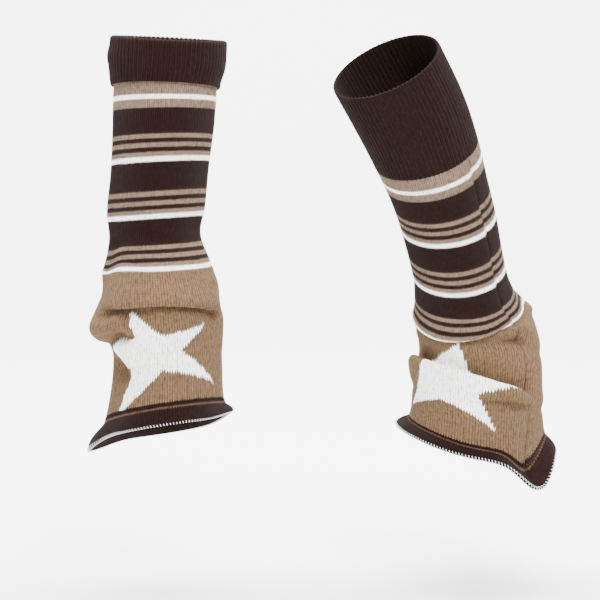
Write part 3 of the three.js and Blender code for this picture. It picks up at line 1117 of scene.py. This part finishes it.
def add_floor(settings):
    """A pale floor that curves up into a backdrop."""
    bm = bmesh.new()
    bmesh.ops.create_grid(bm, x_segments=2, y_segments=48, size=1.0)
    for vert in bm.verts:
        run = (vert.co.y + 1) * 4.0 - 3.0
        bend = max(0.0, run - 2.2)
        angle = min(bend / 0.8, math.pi / 2)
        rise = 0.8 * (1 - math.cos(angle)) + max(0.0, bend - 0.4 * math.pi)
        vert.co = (vert.co.x * 5, min(run, 2.2) + 0.8 * math.sin(angle), settings.floor_height + rise)
    for face in bm.faces:
        face.smooth = True
    mesh = bpy.data.meshes.new("floor")
    bm.to_mesh(mesh)
    bm.free()
    floor = bpy.data.objects.new("floor", mesh)
    bpy.context.collection.objects.link(floor)
    material = bpy.data.materials.new("Pale Floor")
    material.use_nodes = True
    shader = material.node_tree.nodes["Principled BSDF"]
    shader.inputs["Base Color"].default_value = (0.94, 0.94, 0.94, 1)
    shader.inputs["Roughness"].default_value = 0.9
    mesh.materials.append(material)


def aim(thing, at=TARGET):
    """Turns a light or camera to face a point."""
    thing.rotation_euler = (Vector(at) - thing.location).to_track_quat("-Z", "Y").to_euler()


def add_area_light(context, name, place, size, power, at=TARGET):
    """A square soft light that looks at a point."""
    light = bpy.data.lights.new(name, "AREA")
    light.size = size
    light.energy = power
    lamp = bpy.data.objects.new(name, light)
    context.collection.objects.link(lamp)
    lamp.location = place
    aim(lamp, at)


def add_lights(context, settings):
    """Soft light from above the camera and both sides, and a bright even background."""
    power = settings.light
    add_area_light(context, "key_light", (0.7, -1.8, 1.7), 1.2, power)
    add_area_light(context, "fill_light", (-1.5, -1.7, 0.6), 1.5, power * 0.14)
    add_area_light(context, "top_light", (0.1, 0.2, 1.9), 1.5, power * 0.45)
    add_area_light(context, "backdrop_light", (0.1, 0.9, 1.6), 3.0, power * 2.2, (0.1, 3.0, -0.3))
    world = bpy.data.worlds.new("Soft Studio")
    world.use_nodes = True
    world.node_tree.nodes["Background"].inputs["Color"].default_value = (1, 1, 1, 1)
    world.node_tree.nodes["Background"].inputs["Strength"].default_value = 0.75
    context.scene.world = world


def add_camera(context, settings):
    """The camera, level with the knees and looking slightly down."""
    data = bpy.data.cameras.new("camera")
    data.lens = settings.lens
    data.sensor_width = 36.0
    camera = bpy.data.objects.new("camera", data)
    context.collection.objects.link(camera)
    back = settings.distance * math.cos(settings.elevation)
    up = settings.distance * math.sin(settings.elevation)
    camera.location = (TARGET[0], TARGET[1] - back, TARGET[2] + up)
    aim(camera)
    context.scene.camera = camera


class LEGWARMERS_PT_sidebar(bpy.types.Panel):
    """The pieces, in the order they are made"""

    bl_label = "Leg Warmers"
    bl_idname = "LEGWARMERS_PT_sidebar"
    bl_space_type = "VIEW_3D"
    bl_region_type = "UI"
    bl_category = "Leg Warmers"

    def draw(self, context):
        for operator in OPERATORS:
            self.layout.operator(operator.bl_idname)
        for group in (context.scene.leg_knit, context.scene.leg_colours, context.scene.leg_stage):
            box = self.layout.box()
            for name in group.__annotations__:
                box.prop(group, name)


OPERATORS = (
    LEGWARMERS_OT_stage,
    LEGWARMERS_OT_cuffs,
    LEGWARMERS_OT_panels,
    LEGWARMERS_OT_hems,
    LEGWARMERS_OT_overlock,
)
CLASSES = (KnitSizes, YarnColours, StageSettings, *OPERATORS, LEGWARMERS_PT_sidebar)


def register():
    """Registers the classes and their settings."""
    for item in CLASSES:
        bpy.utils.register_class(item)
    bpy.types.Scene.leg_knit = bpy.props.PointerProperty(type=KnitSizes)
    bpy.types.Scene.leg_colours = bpy.props.PointerProperty(type=YarnColours)
    bpy.types.Scene.leg_stage = bpy.props.PointerProperty(type=StageSettings)


def unregister():
    """Removes the settings and the classes."""
    del bpy.types.Scene.leg_stage
    del bpy.types.Scene.leg_colours
    del bpy.types.Scene.leg_knit
    for item in reversed(CLASSES):
        bpy.utils.unregister_class(item)


def main():
    """Makes the stage and every piece."""
    register()
    bpy.ops.legwarmers.stage()
    bpy.ops.legwarmers.cuffs()
    bpy.ops.legwarmers.panels()
    bpy.ops.legwarmers.hems()
    bpy.ops.legwarmers.overlock()


if __name__ == "__main__":
    main()
